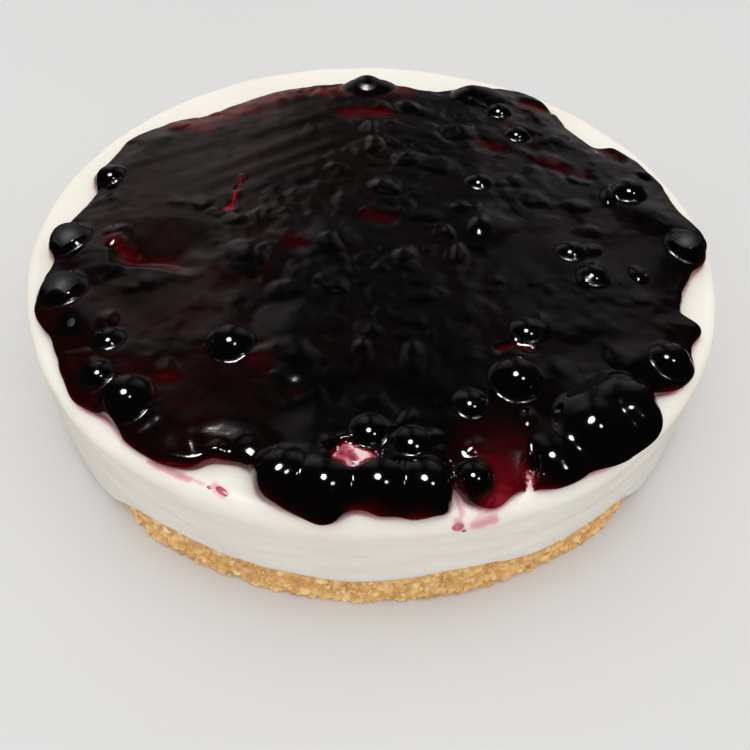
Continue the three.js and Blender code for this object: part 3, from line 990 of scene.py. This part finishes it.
def uneven_cream(points):
    """Soft marks of the spatula: long level ones on the wall, slow ones on the top."""
    x, y, z = points.T
    angle, radius = from_axis(x, y)
    wall = smoothstep(radius, CAKE_RADIUS - TOP_EDGE_RADIUS, CAKE_RADIUS - 1)
    lip = smoothstep(z, 0, 3)
    smear = noise(points / (1, 1, 0.28), 16, 71) * 0.24 + noise(points / (1, 1, 0.2), 6, 72) * 0.1
    out_x, out_y = polar(angle, smear * wall * lip)
    top = smoothstep(z, CREAM_TOP - TOP_EDGE_RADIUS, CREAM_TOP)
    up = top * (0.3 * noise(points, 11, 73) + 0.08 * noise(points, 3.5, 74))
    up += smoothstep(z, CREAM_TOP - 3, CREAM_TOP) * from_windows(x, y)[1]
    return points + np.stack([out_x, out_y, up], axis=1)


def juice_on_cream(points):
    """How pink the cream is: a line along the compote's edge, and a few marks beyond it."""
    x, y, z = points.T
    angle, radius = from_axis(x, y)
    flat = CAKE_RADIUS - TOP_EDGE_RADIUS
    bend = np.arctan2(np.maximum(radius - flat, 0), np.maximum(z - CREAM_TOP + TOP_EDGE_RADIUS, 1e-3))
    down = np.maximum(CREAM_TOP - TOP_EDGE_RADIUS - z, 0)
    way = np.minimum(radius, flat) + np.where(radius > flat, bend * TOP_EDGE_RADIUS + down, 0)
    spot_x, spot_y = polar(angle, way)
    near = (way < 125) & (z > 20)
    distance = np.full(len(points), 50.0)
    distance[near] = outline_distance(spot_x[near], spot_y[near])
    inside = way < outline_way(angle)
    distance[inside] = np.where(distance[inside] < 4, 0, 50)
    at = spots3(spot_x, spot_y)
    patchy = smoothstep(noise(at, 13, 81), -0.4, 0.7)
    juice = 0.55 * np.exp(-distance / 0.5) * lerp(0.35, 1, patchy)
    for x0, y0, x1, y1, width, strength in JUICE_MARKS:
        away = from_segment(spot_x, spot_y, x0, y0, x1, y1) * (1 + 0.4 * noise(at, 2, 83))
        juice = np.maximum(juice, strength * np.exp(-((away / width) ** 2)))
    return juice * near


# Crumb base

CRUMB_LUMPS = 4200
CRUMB_LUMP_RADIUS = (0.45, 1.5)


def crumb_relief(angles, shares, band):
    """Crumbs pressed together in a wall: how far each point stands out, and its crumb's tone."""
    random = np.random.default_rng(9)
    length = 2 * math.pi * CAKE_RADIUS
    relief = np.full((len(shares), len(angles)), -0.3)
    tone = np.full_like(relief, 0.35)
    heights = shares[:, None] * band[None, :]
    step = length / len(angles)
    for _ in range(CRUMB_LUMPS):
        radius = lerp(*CRUMB_LUMP_RADIUS, random.random() ** 2)
        middle = random.uniform(0, length)
        level = random.uniform(-0.3, 14)
        stretch = random.uniform(0.75, 1.4)
        stand = random.uniform(-0.15, 0.7)
        own = np.clip(random.normal(0.52, 0.17), 0, 1)
        reach = int(radius * 1.5 / step) + 2
        columns = np.arange(int(middle / step) - reach, int(middle / step) + reach + 1)
        apart = columns * step - middle
        wrapped = columns % len(angles)
        away = ((apart[None, :] / (radius * stretch)) ** 2
                + ((heights[:, wrapped] - level) / (radius / stretch)) ** 2)
        cap = np.where(away < 1, stand + radius * 0.75 * (np.sqrt(np.clip(1 - away, 0, 1)) - 0.6), -9)
        block = relief[:, wrapped]
        higher = cap > block
        relief[:, wrapped] = np.where(higher, cap, block)
        tone[:, wrapped] = np.where(higher, own, tone[:, wrapped])
    return np.clip(relief, -0.6, 1.1), tone


def make_crumb():
    angles = circle_angles(CRUMB_STEPS)
    foot, joint = cream_foot(angles)
    band = foot - GAP / 2
    inner_top = joint - 3 * GAP
    neck = skirt_radius(angles) - 2 * GAP - CRAG
    shares = np.linspace(0, 1, 28)
    relief, tone = crumb_relief(angles, shares, band)
    few = circle_angles(CRUMB_STEPS // 6)
    shows = crumb_shows(angles)
    rings = [ring(few, 90, 0), ring(angles, crumb_radius(angles) - 1, 0)]
    tones = [np.full(len(few), 0.5), tone[0]]
    for row, share in enumerate(shares):
        spread = FOOT_SPREAD * shows * (1 - min(share / 0.3, 1))
        tuck = 0.5 * np.exp(-share * band / 0.5)
        rings.append(ring(angles, crumb_radius(angles) + relief[row] + spread - tuck, band * share))
        tones.append(tone[row])
    rings += [
        ring(angles, neck, band + 0.2),
        ring(angles, neck, inner_top),
        ring(few, INTERFACE_RADIUS, BASE_HEIGHT - GAP / 2),
    ]
    tones += [tone[-1], tone[-1], np.full(len(few), 0.5)]
    body = closed_body(rings, 0, BASE_HEIGHT - GAP / 2)
    piece = make_object("crumb_body", *body, {"tone": np.concatenate([[0.5], *tones, [0.5]])})
    return dress(piece, CRUMB_MATERIAL, "crumb", "crumb_base")


def ball(splits):
    """Points and triangles of a round ball of radius 1."""
    work = bmesh.new()
    bmesh.ops.create_icosphere(work, subdivisions=splits, radius=1)
    points = np.array([v.co for v in work.verts])
    faces = np.array([[v.index for v in f.verts] for f in work.faces])
    work.free()
    return points, faces


LOOSE_CRUMBS = 420
LOOSE_RADIUS = (0.3, 0.95)
LOOSE_IN_FRONT = 0.56  # the share of them at the front


def make_loose_crumbs():
    """Single crumbs that stick out of the bare wall."""
    random = np.random.default_rng(13)
    unit, faces = ball(2)
    points, triangles, tones = [], [], []
    for _ in range(LOOSE_CRUMBS):
        middle, half = CRUMB_ARCS[0] if random.random() < LOOSE_IN_FRONT else CRUMB_ARCS[1]
        angle = middle + random.uniform(-1, 1) * (half - 5)
        foot, _ = cream_foot(np.array([angle]))
        radius = lerp(*LOOSE_RADIUS, random.random() ** 1.7)
        z = lerp(radius, foot[0] - 0.2, random.random())
        x, y = polar(angle, crumb_radius(angle) + random.uniform(-0.4, 0.2))
        shape = unit * (1 + 0.28 * noise(unit * 3 + random.uniform(0, 99), 1.6, 91))[:, None]
        shape = shape * random.uniform(0.6, 1.2, 3)
        turn = np.linalg.qr(random.normal(size=(3, 3)))[0]
        placed = shape @ turn.T * radius + (x, y, z)
        triangles.append(faces + len(points) * len(unit))
        points.append(placed - (0, 0, min(placed[:, 2].min(), 0)))
        tones.append(np.full(len(unit), np.clip(random.normal(0.6, 0.2), 0, 1)))
    values = {"tone": np.concatenate(tones)}
    piece = make_object("crumb_bits", np.vstack(points), np.vstack(triangles).tolist(), values)
    return dress(piece, CRUMB_MATERIAL, "crumb")


# Whole berries


def make_berries(berries):
    """Round berries with a slightly puckered skin and a shallow crown on one side."""
    random = np.random.default_rng(17)
    unit, faces = ball(5)
    material = berry_material()
    for node, middle, radius, half_height in berries:
        offset = random.uniform(0, 50, 3)
        crown = random.normal(size=3)
        facing = unit @ (crown / np.linalg.norm(crown))
        pucker = 0.035 * noise(unit + offset, 0.7, 95) + 0.012 * noise(unit + offset, 0.28, 96)
        dent = -0.13 * smoothstep(facing, 0.9, 0.99) + 0.035 * np.exp(-(((facing - 0.87) / 0.03) ** 2))
        shape = unit * (0.985 + pucker + dent)[:, None]
        points = shape * (radius, radius, half_height) + middle
        dress(make_object("glazed_" + node, points, faces.tolist()), material, "berry", node)


# Juice

JUICE_DROPS = [  # x, y, half length, half width, turn, height
    (-35.3, -105.5, 2.2, 0.9, -35, 0.45),
    (-38.6, -104.6, 1.0, 0.5, -25, 0.3),
    (22.9, -113.2, 1.5, 0.9, 20, 0.4),
    (24.7, -114.4, 0.6, 0.4, 0, 0.25),
]


def make_juice():
    """Small flat drops of juice on the cream."""
    unit, faces = ball(4)
    points, triangles = [], []
    for index, (x, y, half_length, half_width, turn, height) in enumerate(JUICE_DROPS):
        wobble = 1 + 0.15 * noise(unit + 7 * index, 0.9, 99)
        along, across, up = (unit * (half_length, half_width, height)).T
        spot_x, spot_y = turned(along * wobble, across * wobble, -turn)
        triangles.append(faces + index * len(unit))
        points.append(on_cream(*from_axis(spot_x + x, spot_y + y), up))
    piece = make_object("juice_drops", np.vstack(points), np.vstack(triangles).tolist())
    return dress(piece, juice_material(), "compote")


# Stage, light and camera

EYE_DISTANCE = 287.16
EYE_ELEVATION = 45.02
EYE_ROLL = 0.026  # radians
EYE_LENS = 36  # on a sensor of the same width
EYE_SHIFT = (0.0062, -0.0946)


def make_camera():
    data = bpy.data.cameras.new("eye")
    data.sensor_width = EYE_LENS
    data.lens = EYE_LENS
    data.shift_x, data.shift_y = EYE_SHIFT
    data.clip_start = 0.01
    camera = add_object("eye", data)
    rise = math.radians(EYE_ELEVATION)
    place = Vector((0, -math.cos(rise), math.sin(rise))) * EYE_DISTANCE * MM
    aim = (-place).to_track_quat("-Z", "Y").to_matrix().to_4x4()
    camera.matrix_world = Matrix.Translation(place) @ aim @ Matrix.Rotation(EYE_ROLL, 4, "Z")
    bpy.context.scene.camera = camera


def make_floor():
    reach, drop = 6000, -0.2
    corners = [(x * reach, y * reach, drop) for x, y in ((-1, -1), (1, -1), (1, 1), (-1, 1))]
    floor = make_object("floor", corners, [(0, 1, 2, 3)])
    surface = Surface("floor", roughness=0.7, ior=1.3)
    greys = [(0.3, 0.64, 0.635, 0.63), (0.7, 0.67, 0.665, 0.66)]
    surface.colour(surface.ramp(surface.noise(300), greys))
    floor.data.materials.append(surface.material)
    floor.visible_glossy = False


def make_light(name, place, size, power, **seen):
    data = bpy.data.lights.new(name, "AREA")
    data.shape = "DISK"
    data.size = size
    data.energy = power
    light = add_object(name, data)
    light.location = place
    light.rotation_euler = (-Vector(place)).to_track_quat("-Z", "Y").to_euler()
    for key, shown in seen.items():
        setattr(light, "visible_" + key, shown)


FILL = 0.98
LAMPS = [  # direction, distance, size, power
    ((-0.12, -0.06, 1), 1.5, 0.52, 29),
    ((0.38, -0.36, 0.85), 1.5, 0.26, 5),
]


def make_lights():
    make_light("softbox", (0, 0.06, 1.3), 1.7, 3.9, glossy=False, transmission=False)
    for index, (direction, distance, size, power) in enumerate(LAMPS):
        place = Vector(direction).normalized() * distance
        make_light(f"lamp_{index}", place, size, power, diffuse=False)


ROOM_SHOWN = 0.64
ROOM_TILT = 15
ROOM_TINT = (1, 0.93, 0.92)
# What glossy things reflect: how far a direction is towards the room's bright back, and its light
ROOM_GLOSS = [
    (0.0, 0.01), (0.6, 0.014), (0.7, 0.035), (0.74, 0.08), (0.82, 0.22), (0.875, 0.31),
    (0.92, 0.37), (0.97, 0.48), (1.0, 0.48),
]
# The same from left to right: part of that light
ROOM_SIDES = [(0.38, 0.97), (0.47, 0.15), (0.55, 0.19), (0.61, 0.58), (0.7, 0.88)]


def grey(light):
    return (light, light, light, 1)


def make_world():
    """A plain pale room, brightest low down at the back, and dimmer in the middle than at its sides."""
    world = bpy.data.worlds.new("room")
    bpy.context.scene.world = world
    world.use_nodes = True
    world.cycles.sampling_method = "NONE"
    graph = Graph(world.node_tree)
    rays = graph.nodes.new("ShaderNodeLightPath").outputs

    def greys_towards(direction, low, stops, tint):
        sources = {0: graph.places["Generated"], 1: direction}
        share = graph.add("VectorMath", "Value", sources, operation="DOT_PRODUCT")
        colours = [(place, *(light * part for part in tint)) for place, light in stops]
        return graph.ramp(graph.spread(share, low, 1), colours)

    tilt = math.radians(ROOM_TILT)
    back = greys_towards((0, math.cos(tilt), math.sin(tilt)), 0, ROOM_GLOSS, ROOM_TINT)
    sides = greys_towards((1, 0, 0), -1, ROOM_SIDES, (1, 1, 1))
    gloss = graph.mix(1.0, back, sides, "MULTIPLY")
    light = graph.mix(rays["Is Glossy Ray"], grey(FILL), gloss)
    shown = graph.mix(rays["Is Camera Ray"], light, grey(ROOM_SHOWN))
    graph.put(shown, graph.nodes["Background"].inputs["Color"])


CRUMB_MATERIAL = crumb_material()
make_camera()
make_floor()
make_lights()
make_world()
whole_berries = find_berries()
make_crumb()
make_loose_crumbs()
make_cream()
make_compote(whole_berries)
make_berries(whole_berries)
make_juice()
bpy.context.scene.view_settings.view_transform = "Standard"
